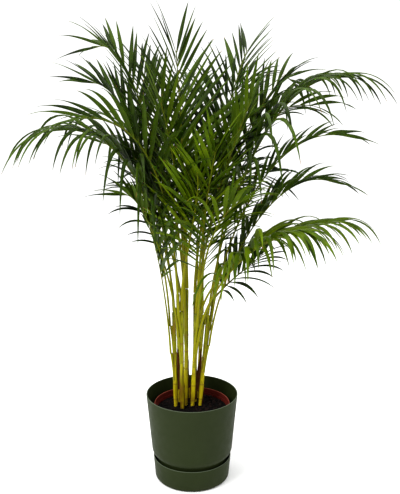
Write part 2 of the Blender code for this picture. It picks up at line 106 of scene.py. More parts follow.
POT_RIM_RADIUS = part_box("growing_pot")[1][0]
POT_RIM_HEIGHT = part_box("growing_pot")[1][2]
POT_BAND = 0.014              # height of the stiffening band under the rim
POT_TAPER = 0.0015            # how far the band's foot is set in from its rim
POT_LEDGE = 0.0035            # how far the wall under the band is set in from the rim
POT_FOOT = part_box("growing_pot")[0][2]
POT_FOOT_RADIUS = 0.0735
POT_WALL = 0.0015
SOIL_TOP = 0.196
SOIL_EDGE = 0.1905
CLODS = (55.0, 0.3, 0.0022)   # lumps per metre, where their pattern is sliced, height
CRUMBS = (210.0, 1.7, 0.0012)
CHIP_MARGIN = 0.006           # least distance of loose bits from the pot's wall
SOIL_CRUMBS = (900, (0.002, 0.006), "crumbs")   # how many, shortest and longest, random seed
BARK_BITS = (260, (0.004, 0.012), "bark")

# ---- plant: canes and midlines as the solids have them, but outer leaflets hang lower --------------
CANE_RADII = (0.0064, 0.0050)
CANES = {  # foot (x, y), top (x, y, z)
    "cane_1": ((-0.044, 0.010), (-0.048, 0.016, 0.46)),
    "cane_2": ((-0.033, 0.034), (-0.038, 0.048, 0.50)),
    "cane_3": ((-0.026, -0.009), (-0.027, -0.014, 0.47)),
    "cane_4": ((-0.017, 0.013), (-0.013, 0.022, 0.52)),
    "cane_5": ((0.008, 0.036), (0.008, 0.050, 0.50)),
    "cane_6": ((0.001, 0.003), (0.012, -0.005, 0.46)),
    "cane_7": ((0.021, 0.012), (0.043, 0.024, 0.45)),
    "cane_8": ((-0.012, 0.060), (-0.020, 0.084, 0.47)),
    "cane_9": ((0.018, 0.062), (0.026, 0.090, 0.45)),
}
CANE_SINK = 0.012             # how far a stem's skin goes down into the soil
CANE_CAP = 0.006              # height of a stem's rounded top
CANE_CAP_ROUND = 0.0062       # half height of the ellipse that rounds it, which leaves a small flat
FIRST_SCAR = 0.018            # height of the lowest ring scar over the soil
SCAR_SPACING = (0.030, 0.055)
SCAR_WIDTH = 0.0016
HUSKS_PER_CANE = 2
REAR_ROW = 0.02               # canes further back than this show their husks between the front ones

MIDRIB_RADII = (0.0042, 0.0013)   # at the cane, at the frond's tip
MIDRIB_SLIM = 0.92            # its thickness over that of the solid midrib
STALK_GAP = 0.0006            # air between a frond's stalk and its cane
START_LEAN = 0.03             # how far a frond leans out where it leaves its cane
START_PULL = 0.50             # how long it keeps to that direction, as a share of the way to its shoulder
SHOULDER_SHARE = 0.62         # where along its curve a frond passes its shoulder
LINE_STEPS = 120              # points along a frond's midline
SHEATH_LENGTH = 0.075
LEAFLET_STEPS = 12            # points along a leaflet's midline
LEAFLET_ANGLES = (58, 39)     # degrees from the midrib at the first pair, and how many fewer at the last
LEAFLET_LIFT = 22             # degrees that a leaflet rises over the plane of its frond
LEAFLET_LOUVRE = 38           # degrees that its leading edge is turned down
LEAFLET_STRETCH = 1.06        # length over the one in the table
DROOP_CURVE = (0.35, 0.9, 2.2)    # even part of the droop, part that grows to the tip, and its power
PAIRS_PER_SOLID_PAIR = 1.45   # the solids carry fewer leaflets than the real fronds
BLADE_THICKNESS = 0.0004
BLADE_FOLD = 0.22             # height of a leaflet's ridge, as a share of its width

# cane it grows on, height where it leaves the cane, azimuth of shoulder and tip, shoulder, tip,
# share that is bare stalk, leaflet length and width, pairs of solid leaflets, droop, youth and painted
# light (0 to 1)
Frond = namedtuple("Frond", "cane start azimuth shoulder tip bare leaflet width pairs droop youth")
# the last column is partly painted light: rear fronds are set low so they come out darker as if in shade,
# centre and front fronds higher so they come out lighter as if lit
FRONDS = {
    "left_arching": Frond("cane_1", 0.42, (184, 190), (0.150, 0.830), (0.315, 0.935),
                          0.42, 0.30, 0.013, 13, 2.10, 0.10),
    "left_upper": Frond("cane_1", 0.46, (165, 165), (0.148, 0.924), (0.262, 1.048),
                        0.42, 0.20, 0.014, 12, 0.25, 0.05),
    "left_high": Frond("cane_2", 0.50, (150, 150), (0.160, 1.020), (0.286, 1.141),
                       0.42, 0.20, 0.014, 12, 0.30, 0.1),
    "top": Frond("cane_4", 0.52, (110, 108), (0.075, 0.900), (0.130, 1.130),
                 0.40, 0.22, 0.015, 13, 0.20, 0.15),
    "top_right": Frond("cane_5", 0.50, (60, 60), (0.180, 0.960), (0.305, 1.140),
                       0.42, 0.21, 0.014, 13, 0.25, 0.1),
    "right_high": Frond("cane_7", 0.45, (5, 5), (0.190, 0.930), (0.365, 1.060),
                        0.42, 0.29, 0.013, 13, 1.80, 0.10),
    "right_spear": Frond("cane_7", 0.43, (355, 355), (0.200, 0.840), (0.383, 0.918),
                         0.42, 0.13, 0.010, 10, 0.45, 0.1),
    "right_middle": Frond("cane_7", 0.364, (350, 350), (0.190, 0.740), (0.342, 0.813),
                          0.42, 0.15, 0.012, 10, 0.60, 0.1),
    "right_low": Frond("cane_6", 0.44, (342, 340), (0.180, 0.650), (0.350, 0.720),
                       0.36, 0.22, 0.012, 12, 1.60, 0.40),
    "right_front": Frond("cane_6", 0.384, (326, 325), (0.170, 0.640), (0.306, 0.709),
                         0.40, 0.22, 0.014, 11, 1.70, 0.48),
    "right_rear_low": Frond("cane_9", 0.40, (30, 20), (0.120, 0.530), (0.199, 0.600),
                            0.45, 0.14, 0.013, 7, 0.60, 0.0),
    "left_low": Frond("cane_3", 0.40, (200, 200), (0.110, 0.700), (0.172, 0.779),
                      0.45, 0.15, 0.013, 8, 0.45, 0.15),
    "left_thin": Frond("cane_1", 0.344, (190, 182), (0.085, 0.600), (0.110, 0.690),
                       0.60, 0.12, 0.010, 5, 0.40, 0.2),
    "centre_bright": Frond("cane_3", 0.47, (275, 275), (0.100, 0.740), (0.140, 0.850),
                           0.40, 0.18, 0.019, 9, 0.30, 0.75),
    "centre_right": Frond("cane_6", 0.46, (290, 290), (0.100, 0.740), (0.165, 0.890),
                          0.40, 0.18, 0.016, 9, 0.35, 0.60),
    "left_front": Frond("cane_3", 0.458, (223, 205), (0.130, 0.860), (0.269, 0.965),
                        0.42, 0.20, 0.013, 11, 0.55, 0.12),
    "rear_left": Frond("cane_8", 0.47, (125, 125), (0.140, 0.900), (0.240, 1.090),
                       0.40, 0.21, 0.014, 12, 0.35, 0.05),
    "rear": Frond("cane_8", 0.45, (95, 90), (0.160, 0.880), (0.280, 1.040),
                  0.40, 0.22, 0.014, 12, 0.55, 0.0),
    "rear_right": Frond("cane_9", 0.45, (66, 55), (0.140, 0.880), (0.260, 1.060),
                        0.40, 0.22, 0.014, 12, 0.50, 0.0),
    "right_upper": Frond("cane_5", 0.48, (30, 30), (0.190, 0.960), (0.301, 1.058),
                         0.42, 0.20, 0.013, 11, 0.50, 0.1),
    "right_inner": Frond("cane_7", 0.404, (40, 15), (0.190, 0.880), (0.324, 0.991),
                         0.42, 0.18, 0.013, 10, 0.60, 0.1),
    "front_low": Frond("cane_6", 0.424, (292, 300), (0.130, 0.680), (0.220, 0.780),
                       0.42, 0.18, 0.014, 10, 0.70, 0.40),
    "left_middle": Frond("cane_2", 0.46, (178, 178), (0.130, 0.800), (0.220, 0.900),
                         0.45, 0.18, 0.013, 10, 0.50, 0.1),
    "rear_low_left": Frond("cane_8", 0.42, (128, 128), (0.170, 0.740), (0.250, 0.810),
                           0.42, 0.19, 0.013, 10, 0.75, 0.0),
    "rear_low": Frond("cane_9", 0.43, (80, 80), (0.180, 0.760), (0.330, 0.840),
                      0.42, 0.21, 0.013, 10, 0.75, 0.0),
    "rear_low_right": Frond("cane_9", 0.336, (80, 48), (0.170, 0.720), (0.300, 0.800),
                            0.42, 0.20, 0.013, 10, 0.75, 0.0),
    "inner_left": Frond("cane_4", 0.48, (235, 235), (0.060, 0.800), (0.120, 1.000),
                        0.42, 0.19, 0.014, 10, 0.25, 0.3),
    "inner_right": Frond("cane_5", 0.46, (330, 330), (0.090, 0.820), (0.160, 1.000),
                         0.42, 0.19, 0.014, 10, 0.30, 0.3),
}
# the two brightest fronds: young, and also painted lighter as if lit
YOUNG_AND_LIT_SLOT = ("centre_bright", "centre_right")
Leaflet = namedtuple("Leaflet", "angle lift length width droop twist tint")
UP = np.array((0.0, 0.0, 1.0))

# ---- colours --------------------------------------------------------------------------------------
OLIVE = (0.0165, 0.0240, 0.0055)
OLIVE_DUST = (0.030, 0.034, 0.020)
# painted highlight: the paler colour of the green rims' top edge, where the lip would catch the light
OLIVE_RIM_HIGHLIGHT = (0.085, 0.105, 0.070)
TERRACOTTA = (0.090, 0.012, 0.008)
TERRACOTTA_DUST = (0.06, 0.02, 0.012)
# painted highlight along the brown pot's rim, where its lip would catch the light
TERRACOTTA_RIM_HIGHLIGHT = (0.34, 0.090, 0.060)
OLD_AND_SHADED_LEAF = (0.0018, 0.0058, 0.0003), (0.024, 0.052, 0.0012)       # darkest and lightest leaflet of old fronds, also the tones of fronds painted as in shade
# young fronds' tones, also the painted light of fronds lit from the front
YOUNG_AND_LIT_LEAF = (0.045, 0.095, 0.0008), (0.175, 0.240, 0.002)
SOIL_TONES = (0.0015, 0.0012, 0.0012), (0.012, 0.008, 0.007)
BARK_TONES = (0.006, 0.003, 0.003), (0.050, 0.026, 0.020)
PLASTIC_GLOSS = 0.16          # specular levels
DRY_GLOSS = 0.12
PLANT_GLOSS = 0.10


# ---- node helpers ---------------------------------------------------------------------------------
class Nodes:
    """Short names for making and linking the nodes of one material."""

    def __init__(self, name):
        self.material = bpy.data.materials.new(name)
        self.material.use_nodes = True
        self.tree = self.material.node_tree
        self.shader = self.tree.nodes["Principled BSDF"]

    def add(self, kind, **settings):
        node = self.tree.nodes.new(kind)
        for key, value in settings.items():
            setattr(node, key, value)
        return node

    def link(self, out, into):
        self.tree.links.new(out, into)

    def noise(self, where, scale, detail=3.0, roughness=0.5):
        made = self.add("ShaderNodeTexNoise")
        made.inputs["Scale"].default_value = scale
        made.inputs["Detail"].default_value = detail
        made.inputs["Roughness"].default_value = roughness
        self.link(where, made.inputs["Vector"])
        return made.outputs["Fac"]

    def ramp(self, value, *stops):
        """A colour ramp; a stop is (position, colour), and a plain number is a grey."""
        made = self.add("ShaderNodeValToRGB")
        points = made.color_ramp.elements
        while len(points) < len(stops):
            points.new(0.5)
        for point, (position, colour) in zip(points, stops):
            point.position = position
            point.color = (colour, colour, colour, 1) if isinstance(colour, (int, float)) else (*colour, 1)
        self.link(value, made.inputs["Fac"])
        return made.outputs["Color"]

    def mix(self, share, first, second):
        made = self.add("ShaderNodeMix", data_type="RGBA")
        for value, socket in ((share, made.inputs[0]), (first, made.inputs[6]), (second, made.inputs[7])):
            if isinstance(value, bpy.types.NodeSocket):
                self.link(value, socket)
            elif isinstance(value, tuple):
                socket.default_value = (*value, 1)
            else:
                socket.default_value = value
        return made.outputs[2]

    def calc(self, operation, first, second=0.0):
        made = self.add("ShaderNodeMath", operation=operation)
        for value, socket in ((first, made.inputs[0]), (second, made.inputs[1])):
            if isinstance(value, bpy.types.NodeSocket):
                self.link(value, socket)
            else:
                socket.default_value = value
        return made.outputs[0]

    def stretched(self, where, scale):
        made = self.add("ShaderNodeMapping")
        made.inputs["Scale"].default_value = scale
        self.link(where, made.inputs["Vector"])
        return made.outputs["Vector"]

    def bump(self, height, distance, strength):
        made = self.add("ShaderNodeBump")
        made.inputs["Strength"].default_value = strength
        made.inputs["Distance"].default_value = distance
        self.link(height, made.inputs["Height"])
        self.link(made.outputs["Normal"], self.shader.inputs["Normal"])


def plastic_material(name, colour, dusty, roughness, dust_height, rim_highlight_height, rim_highlight_colour):
    """Matte moulded plastic: fine grain, faint cloudiness, dust towards the foot, and a painted highlight
    along the rim's top edge.
    """
    n = Nodes(name)
    place = n.add("ShaderNodeTexCoord").outputs["Object"]
    cloud = n.noise(place, 14.0, 4.0)
    fine = n.noise(place, 900.0, 2.0)
    mottled = n.mix(n.ramp(cloud, (0.3, 0.0), (0.75, 1.0)), colour, tuple(c * 1.16 for c in colour))
    height = n.add("ShaderNodeSeparateXYZ")
    n.link(place, height.inputs[0])
    low = n.calc("SUBTRACT", 1.0, n.calc("DIVIDE", height.outputs["Z"], dust_height))
    dust = n.calc("MULTIPLY", n.ramp(low, (0.0, 0.0), (1.0, 1.0)), n.ramp(cloud, (0.4, 0.0), (0.8, 0.5)))
    # painted highlight: a thin band at the top of the rim is lighter, as if its lip caught the light
    painted_rim_highlight = n.calc("GREATER_THAN", height.outputs["Z"], rim_highlight_height)
    n.link(n.mix(painted_rim_highlight, n.mix(dust, mottled, dusty), rim_highlight_colour), n.shader.inputs["Base Color"])
    n.link(n.ramp(n.noise(place, 60.0), (0.3, roughness - 0.06), (0.7, roughness + 0.06)),
           n.shader.inputs["Roughness"])
    n.shader.inputs["Specular IOR Level"].default_value = PLASTIC_GLOSS
    n.bump(fine, 0.0002, 0.35)
    return n.material


def soil_material(name, dark, light):
    """Matte crumbs of two tones, which blend to near black between clods."""
    n = Nodes(name)
    place = n.add("ShaderNodeTexCoord").outputs["Object"]
    crumbs = n.noise(place, 260.0, 6.0, 0.7)
    clods = n.noise(place, 60.0, 4.0)
    colour = n.mix(n.ramp(crumbs, (0.42, 0.0), (0.72, 1.0)), dark, light)
    n.link(n.mix(n.ramp(clods, (0.35, 0.6), (0.6, 0.0)), colour, (0.004, 0.003, 0.003)),
           n.shader.inputs["Base Color"])
    n.link(n.ramp(crumbs, (0.3, 0.75), (0.7, 0.98)), n.shader.inputs["Roughness"])
    n.shader.inputs["Specular IOR Level"].default_value = DRY_GLOSS
    n.bump(crumbs, 0.002, 0.8)
    return n.material


def cane_material():
    """Yellow-green stem, streaked lengthwise, yellower towards the soil, with scars and brown patches."""
    n = Nodes("cane_skin")
    place = n.add("ShaderNodeTexCoord").outputs["Object"]
    streaks = n.noise(n.stretched(place, (1.0, 1.0, 0.06)), 420.0, 3.0)
    patches = n.noise(n.stretched(place, (1.0, 1.0, 0.35)), 46.0, 3.0)
    height = n.add("ShaderNodeSeparateXYZ")
    n.link(place, height.inputs[0])
    z = height.outputs["Z"]
    colour = n.ramp(n.calc("DIVIDE", z, 0.60),
                    (0.32, (0.52, 0.40, 0.012)), (0.45, (0.36, 0.31, 0.004)),
                    (0.62, (0.14, 0.165, 0.003)), (0.90, (0.05, 0.08, 0.001)))
    colour = n.mix(n.ramp(streaks, (0.42, 0.0), (0.75, 0.55)), colour, (0.58, 0.50, 0.020))
    lanes = n.noise(n.stretched(place, (1.0, 1.0, 0.03)), 190.0, 2.0)
    colour = n.mix(n.ramp(lanes, (0.50, 0.0), (0.62, 0.75)), colour, (0.045, 0.040, 0.001))
    colour = n.mix(n.ramp(patches, (0.52, 0.0), (0.66, 0.75)), colour, (0.15, 0.085, 0.006))
    low = n.ramp(n.calc("DIVIDE", z, 0.36), (0.54, 0.40), (0.80, 0.0))
    colour = n.mix(n.calc("MULTIPLY", low, n.ramp(patches, (0.50, 0.0), (0.66, 1.0))), colour,
                   (0.050, 0.014, 0.006))
    scars = n.add("ShaderNodeAttribute", attribute_name="scar").outputs["Fac"]
    colour = n.mix(n.calc("MULTIPLY", scars, 0.7), colour, (0.16, 0.085, 0.025))
    n.link(colour, n.shader.inputs["Base Color"])
    n.link(n.ramp(streaks, (0.3, 0.34), (0.7, 0.50)), n.shader.inputs["Roughness"])
    n.shader.inputs["Specular IOR Level"].default_value = PLANT_GLOSS
    n.bump(streaks, 0.0005, 0.4)
    return n.material


def husk_material():
    """Dried leaf sheath: brown, fibrous."""
    n = Nodes("dry_sheath")
    place = n.add("ShaderNodeTexCoord").outputs["Object"]
    fibre = n.noise(n.stretched(place, (1.0, 1.0, 0.04)), 600.0, 4.0, 0.6)
    patches = n.noise(place, 40.0)
    colour = n.mix(n.ramp(fibre, (0.35, 0.0), (0.7, 1.0)), (0.028, 0.006, 0.003), (0.12, 0.040, 0.010))
    n.link(n.mix(n.ramp(patches, (0.5, 0.0), (0.8, 0.6)), colour, (0.15, 0.075, 0.020)),
           n.shader.inputs["Base Color"])
    n.shader.inputs["Roughness"].default_value = 0.85
    n.shader.inputs["Specular IOR Level"].default_value = DRY_GLOSS
    n.bump(fibre, 0.0006, 0.7)
    return n.material


def leaf_material(name, youth):
    """Leaflet: yellower when young and lighter where painted as lit, paler along its ridge, ribbed
    lengthwise, sometimes dry at its tip.
    """
    n = Nodes(name)
    place = n.add("ShaderNodeTexCoord").outputs["Object"]
    across_along = n.add("ShaderNodeSeparateXYZ")
    n.link(n.add("ShaderNodeUVMap", uv_map="blade").outputs["UV"], across_along.inputs[0])
    across, along = across_along.outputs["X"], across_along.outputs["Y"]
    tint = n.add("ShaderNodeAttribute", attribute_name="tint").outputs["Fac"]
    # the frond's youth value blends old tones towards young ones; it holds real age and painted light and
    # shade together
    pairs = zip(OLD_AND_SHADED_LEAF, YOUNG_AND_LIT_LEAF)
    dark, light = (tuple(o + (y - o) * youth for o, y in zip(*pair)) for pair in pairs)
    colour = n.mix(tint, dark, light)
    cloud = n.noise(n.stretched(place, (1.0, 1.0, 0.5)), 34.0, 3.0)
    colour = n.mix(n.ramp(cloud, (0.45, 0.0), (0.75, 0.45)), colour, tuple(c * 1.7 for c in light))
    ridge = n.ramp(n.calc("ABSOLUTE", n.calc("SUBTRACT", across, 0.5)), (0.0, 0.55), (0.07, 0.0))
    colour = n.mix(ridge, colour, (0.060, 0.105, 0.006))
    foot = n.ramp(along, (0.0, 0.6), (0.10, 0.0))
    colour = n.mix(foot, colour, (0.13, 0.16, 0.010))
    some = n.ramp(tint, (0.55, 0.0), (0.6, 1.0))
    tip = n.calc("MULTIPLY", n.ramp(along, (0.955, 0.0), (0.985, 1.0)), some)
    colour = n.mix(tip, colour, (0.20, 0.10, 0.030))
    n.link(colour, n.shader.inputs["Base Color"])
    ribs = n.calc("SINE", n.calc("MULTIPLY", across, 75.0))
    n.link(n.ramp(cloud, (0.3, 0.30), (0.7, 0.44)), n.shader.inputs["Roughness"])
    n.shader.inputs["Specular IOR Level"].default_value = PLANT_GLOSS
    n.shader.inputs["Subsurface Weight"].default_value = 0.12
    n.shader.inputs["Subsurface Radius"].default_value = (0.3, 0.6, 0.1)
    n.shader.inputs["Subsurface Scale"].default_value = 0.002
    n.bump(ribs, 0.00012, 0.5)
    return n.material


def midrib_material(name, youth):
    """Stalk and midrib: yellow-green at the cane, greener towards the tip, lighter on young fronds and on
    fronds painted as lit.
    """
    n = Nodes(name)
    place = n.add("ShaderNodeTexCoord").outputs["Object"]
    along = n.add("ShaderNodeSeparateXYZ")
    n.link(n.add("ShaderNodeUVMap", uv_map="blade").outputs["UV"], along.inputs[0])
    # the youth value lifts these colours for young fronds, and as painted light on lit ones
    near = (0.16 + 0.06 * youth, 0.165 + 0.04 * youth, 0.002)
    far = (0.022 + 0.10 * youth, 0.050 + 0.10 * youth, 0.002)
    colour = n.ramp(along.outputs["Y"], (0.05, near), (0.40, tuple((a + b) / 2 for a, b in zip(near, far))),
                    (0.85, far))
    streaks = n.noise(n.stretched(place, (1.0, 1.0, 0.10)), 380.0)
    patches = n.noise(place, 26.0)
    colour = n.mix(n.ramp(streaks, (0.40, 0.0), (0.75, 0.45)), colour, (0.24, 0.21, 0.006))
    n.link(n.mix(n.ramp(patches, (0.55, 0.0), (0.70, 0.5)), colour, (0.12, 0.075, 0.006)),
           n.shader.inputs["Base Color"])
    n.link(n.ramp(streaks, (0.3, 0.34), (0.7, 0.46)), n.shader.inputs["Roughness"])
    n.shader.inputs["Specular IOR Level"].default_value = PLANT_GLOSS
    n.bump(streaks, 0.0003, 0.3)
    return n.material


# ---- meshes ---------------------------------------------------------------------------------------
def new_piece(name, points, faces, materials, slot, *nodes, face_materials=None, sharp_from=50):
    """One visual piece, which rides the body and replaces the nodes named; the slot argument is not used.
    """
    mesh = bpy.data.meshes.new(name)
    mesh.from_pydata([tuple(p) for p in points], [], faces)
    for finish in materials:
        mesh.materials.append(finish)
    if face_materials is not None:
        mesh.polygons.foreach_set("material_index", face_materials)
    mesh.shade_smooth()
    mesh.set_sharp_from_angle(angle=math.radians(sharp_from))
    piece = bpy.data.objects.new(name, mesh)
    bpy.context.scene.collection.objects.link(piece)
    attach(piece, BODY)
    if nodes:
        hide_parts(*nodes)
    return piece


def outward(piece):
    """Turns every face of a piece to point out of it."""
    shape = bmesh.new()
    shape.from_mesh(piece.data)
    bmesh.ops.recalc_face_normals(shape, faces=shape.faces)
    shape.to_mesh(piece.data)
    shape.free()


def turned(profile):
    """Points and faces of a closed (r, z) outline turned about Z; a point at r = 0 is a pole."""
    points, rings = [], []
    turns = [2 * math.pi * k / SIDES for k in range(SIDES)]
    for r, z in profile:
        if r == 0:
            rings.append([len(points)] * SIDES)
            points.append((0.0, 0.0, z))
        else:
            rings.append([len(points) + k for k in range(SIDES)])
            points += [(r * math.cos(a), r * math.sin(a), z) for a in turns]
    faces = []
    for low, high in zip(rings, rings[1:]):
        for k in range(SIDES):
            corners = (low[k], low[(k + 1) % SIDES], high[(k + 1) % SIDES], high[k])
            face = list(dict.fromkeys(corners))
            if len(face) > 2:
                faces.append(face)
    return points, faces


def arc(centre, radii, start, end, steps):
    """Points of an ellipse's arc in the (r, z) plane, angles in degrees."""
    angles = [math.radians(start + (end - start) * k / steps) for k in range(steps + 1)]
    return [(centre[0] + radii[0] * math.cos(a), centre[1] + radii[1] * math.sin(a)) for a in angles]


def unit(vector):
    return vector / np.linalg.norm(vector)


def lip(inner, outer, height):
    """Rounded top edge, from the outer wall over to the inner one."""
    middle = (inner + outer) / 2
    return arc((middle, height - LIP), ((outer - inner) / 2, LIP), 0, 180, 10)


def add_tray(finish):
    inner_rim = TRAY_RIM_RADIUS - TRAY_WALL
    inner_foot = TRAY_FOOT_RADIUS - TRAY_WALL
    corner = (TRAY_FOOT_RADIUS - TRAY_CORNER, TRAY_CORNER)
    outline = [(0, 0), (corner[0] * TRAY_FLAT, 0)]
    outline += arc(corner, (TRAY_CORNER, TRAY_CORNER), -90, 0, 10)
    outline += lip(inner_rim, TRAY_RIM_RADIUS, TRAY_HEIGHT)
    outline += [(inner_foot, TRAY_CORNER), (inner_foot - TRAY_FLOOR, TRAY_FLOOR), (0, TRAY_FLOOR)]
    outward(new_piece("water_tray", *turned(outline), [finish], "green_plastic", "tray"))


def add_planter(finish):
    bottom = TRAY_FLOOR + GAP
    floor = bottom + PLANTER_WALL
    shoulder = PLANTER_RIM_RADIUS - (PLANTER_HEIGHT - SHOULDER_HEIGHT) * PLANTER_SLOPE
    drop = SHOULDER_HEIGHT - NECK_HEIGHT
    bulge = (shoulder - NECK_RADIUS, drop)
    outline = [(0, bottom), (FOOT_RADIUS, bottom)]
    outline += arc((NECK_RADIUS, SHOULDER_HEIGHT), bulge, -90, 0, 14)
    outline += lip(PLANTER_RIM_RADIUS - PLANTER_WALL, PLANTER_RIM_RADIUS, PLANTER_HEIGHT)
    inner_neck = NECK_RADIUS - PLANTER_WALL
    outline += arc((inner_neck, SHOULDER_HEIGHT), (bulge[0], drop - PLANTER_WALL), 0, -90, 14)
    outline += [(FOOT_RADIUS - PLANTER_WALL, floor), (0, floor)]
    outward(new_piece("planter_shell", *turned(outline), [finish], "green_plastic", "planter"))


def pot_radius(z):
    """Outer radius of the growing pot's wall below its band."""
    under_band = POT_RIM_RADIUS - POT_LEDGE
    rise = POT_RIM_HEIGHT - POT_BAND - POT_FOOT
    return POT_FOOT_RADIUS + (under_band - POT_FOOT_RADIUS) * (z - POT_FOOT) / rise


def add_growing_pot(finish):
    band, rim, top, wall = POT_RIM_HEIGHT - POT_BAND, POT_RIM_RADIUS, POT_RIM_HEIGHT, POT_WALL
    under, set_in = pot_radius(band), rim - POT_TAPER
    outline = [(0, POT_FOOT), (POT_FOOT_RADIUS, POT_FOOT), (under, band), (set_in, band)]
    outline += arc((rim - wall / 2, top - wall / 2), (wall / 2, wall / 2), 0, 180, 6)
    outline += [(set_in - wall, band + wall), (under - wall, band + wall)]
    outline += [(POT_FOOT_RADIUS - wall, POT_FOOT + wall), (0, POT_FOOT + wall)]
    outward(new_piece("inner_growing_pot", *turned(outline), [finish], "brown_plastic", "growing_pot"))


# ---- soil -----------------------------------------------------------------------------------------
def soil_height(x, y):
    """Height of the mounded, lumpy surface, which is level at the pot's wall."""
    edge = pot_radius(SOIL_EDGE) - POT_WALL - GAP
    share = min(1.0, math.hypot(x, y) / edge)
    mound = SOIL_EDGE + (SOIL_TOP - SOIL_EDGE) * math.cos(share * math.pi / 2)
    rough = 0.0
    for per_metre, slice_at, height in (CLODS, CRUMBS):
        rough += height * noise.noise(Vector((x, y, slice_at)) * per_metre)
    return mound + rough * (1 - share ** 6)


def add_soil(finish):
    """The rough top of the potting mix, closed down to the pot's floor."""
    rings, around = 44, 150
    edge = pot_radius(SOIL_EDGE) - POT_WALL - GAP
    bottom = POT_FOOT + POT_WALL + GAP
    points = [(0.0, 0.0, soil_height(0, 0))]
    for ring in range(1, rings + 1):
        r = edge * ring / rings
        for k in range(around):
            turn = 2 * math.pi * (k + 0.5 * (ring % 2)) / around
            x, y = r * math.cos(turn), r * math.sin(turn)
            points.append((x, y, soil_height(x, y)))
    faces = [(0, 1 + k, 1 + (k + 1) % around) for k in range(around)]
    for ring in range(rings - 1):
        a, b = 1 + ring * around, 1 + (ring + 1) * around
        faces += [(a + k, b + k, b + (k + 1) % around, a + (k + 1) % around) for k in range(around)]
    last, low = 1 + (rings - 1) * around, len(points)
    foot_radius = pot_radius(bottom) - POT_WALL - GAP
    for k in range(around):
        turn = 2 * math.pi * k / around
        points.append((foot_radius * math.cos(turn), foot_radius * math.sin(turn), bottom))
    faces += [(last + k, low + k, low + (k + 1) % around, last + (k + 1) % around) for k in range(around)]
    faces.append(tuple(low + k for k in range(around)))
    outward(new_piece("potting_soil", points, faces, [finish], "soil", "soil"))


def chip(centre, size, chance):
    """A small eight-cornered crumb or splinter of bark, turned at random."""
    turn = chance.uniform(0, math.pi)
    tilt = chance.uniform(-0.5, 0.5)
    along = np.array((math.cos(turn) * math.cos(tilt), math.sin(turn) * math.cos(tilt), math.sin(tilt)))
    side = unit(np.cross(along, UP))
    top = np.cross(side, along)
    points = []
    for a in (-1, 1):
        for b in (-1, 1):
            for c in (-1, 1):
                jitter = [chance.uniform(0.6, 1.1) for _ in range(3)]
                lengthwise = along * a * size[0] * jitter[0] / 2
                sideways = side * b * size[1] * jitter[1] / 2
                points.append(centre + lengthwise + sideways + top * c * size[2] * jitter[2] / 2)
    faces = [(0, 1, 3, 2), (4, 6, 7, 5), (0, 4, 5, 1), (2, 3, 7, 6), (0, 2, 6, 4), (1, 5, 7, 3)]
    return points, faces


def add_chips(name, finish, count, sizes, seed):
    """Loose bits scattered evenly over the soil, as one piece."""
    chance = random.Random(seed)
    reach = pot_radius(SOIL_EDGE) - POT_WALL - CHIP_MARGIN
    points, faces = [], []
    for _ in range(count):
        r, turn = reach * math.sqrt(chance.random()), chance.uniform(0, 2 * math.pi)
        x, y = r * math.cos(turn), r * math.sin(turn)
        length = chance.uniform(*sizes)
        size = (length, length * chance.uniform(0.25, 0.7), length * chance.uniform(0.15, 0.4))
        more_points, more_faces = chip(np.array((x, y, soil_height(x, y) + size[2] * 0.3)), size, chance)
        faces += [tuple(i + len(points) for i in face) for face in more_faces]
        points += more_points
    outward(new_piece(name, points, faces, [finish], "soil", sharp_from=30))


# ---- canes ----------------------------------------------------------------------------------------
def cane_axis(cane, z):
    """Point on a cane's axis at a height, the axis' direction, and the cane's radius there."""
    (foot_x, foot_y), (top_x, top_y, top_z) = CANES[cane]
    foot, top = np.array((foot_x, foot_y, SOIL_TOP)), np.array((top_x, top_y, top_z))
    share = (z - SOIL_TOP) / (top_z - SOIL_TOP)
    radius = CANE_RADII[0] + (CANE_RADII[1] - CANE_RADII[0]) * min(1, max(0, share))
    return foot + (top - foot) * share, unit(top - foot), radius


def add_cane(cane, finish):
    """A stem that narrows into the soil, swells a little, and has ring scars and a rounded top."""
    chance = random.Random(cane)
    sides, rings = 20, 90
    top_z = CANES[cane][1][2]
    bottom_z = SOIL_TOP - CANE_SINK
    scars = [SOIL_TOP + FIRST_SCAR]
    while scars[-1] < top_z - 0.05:
        scars.append(scars[-1] + chance.uniform(*SCAR_SPACING))
    points, marks = [], []
    for ring in range(rings + 1):
        z = bottom_z + (top_z - bottom_z) * ring / rings
        centre, along, radius = cane_axis(cane, z)
        side = unit(np.cross(along, (0.0, 1.0, 0.0)))
        other = np.cross(along, side)
        near = min(abs(z - scar) for scar in scars)
        mark = math.exp(-(near / SCAR_WIDTH) ** 2)
        swelling = 0.025 * math.sin((z - SOIL_TOP) * 45 + 6)
        foot = 0.72 + 0.28 * min(1.0, max(0.0, (z - bottom_z) / 0.05))
        over = max(0.0, (z - top_z + CANE_CAP) / CANE_CAP_ROUND)
        cap = math.sqrt(1 - over ** 2)
        for k in range(sides):
            turn = 2 * math.pi * k / sides
            wave = 1 + swelling + 0.035 * math.sin(3 * turn + z * 30)
            reach = radius * foot * cap * (wave + 0.07 * mark) * 0.96
            points.append(centre + reach * (math.cos(turn) * side + math.sin(turn) * other))
            marks.append(mark)
    faces = []
    for ring in range(rings):
        a, b = ring * sides, (ring + 1) * sides
        faces += [(a + k, a + (k + 1) % sides, b + (k + 1) % sides, b + k) for k in range(sides)]
    faces += [tuple(range(sides)), tuple(rings * sides + k for k in range(sides))]
    piece = new_piece(cane + "_stem", points, faces, [finish], "cane", cane)
    piece.data.attributes.new("scar", "FLOAT", "POINT").data.foreach_set("value", marks)
    outward(piece)


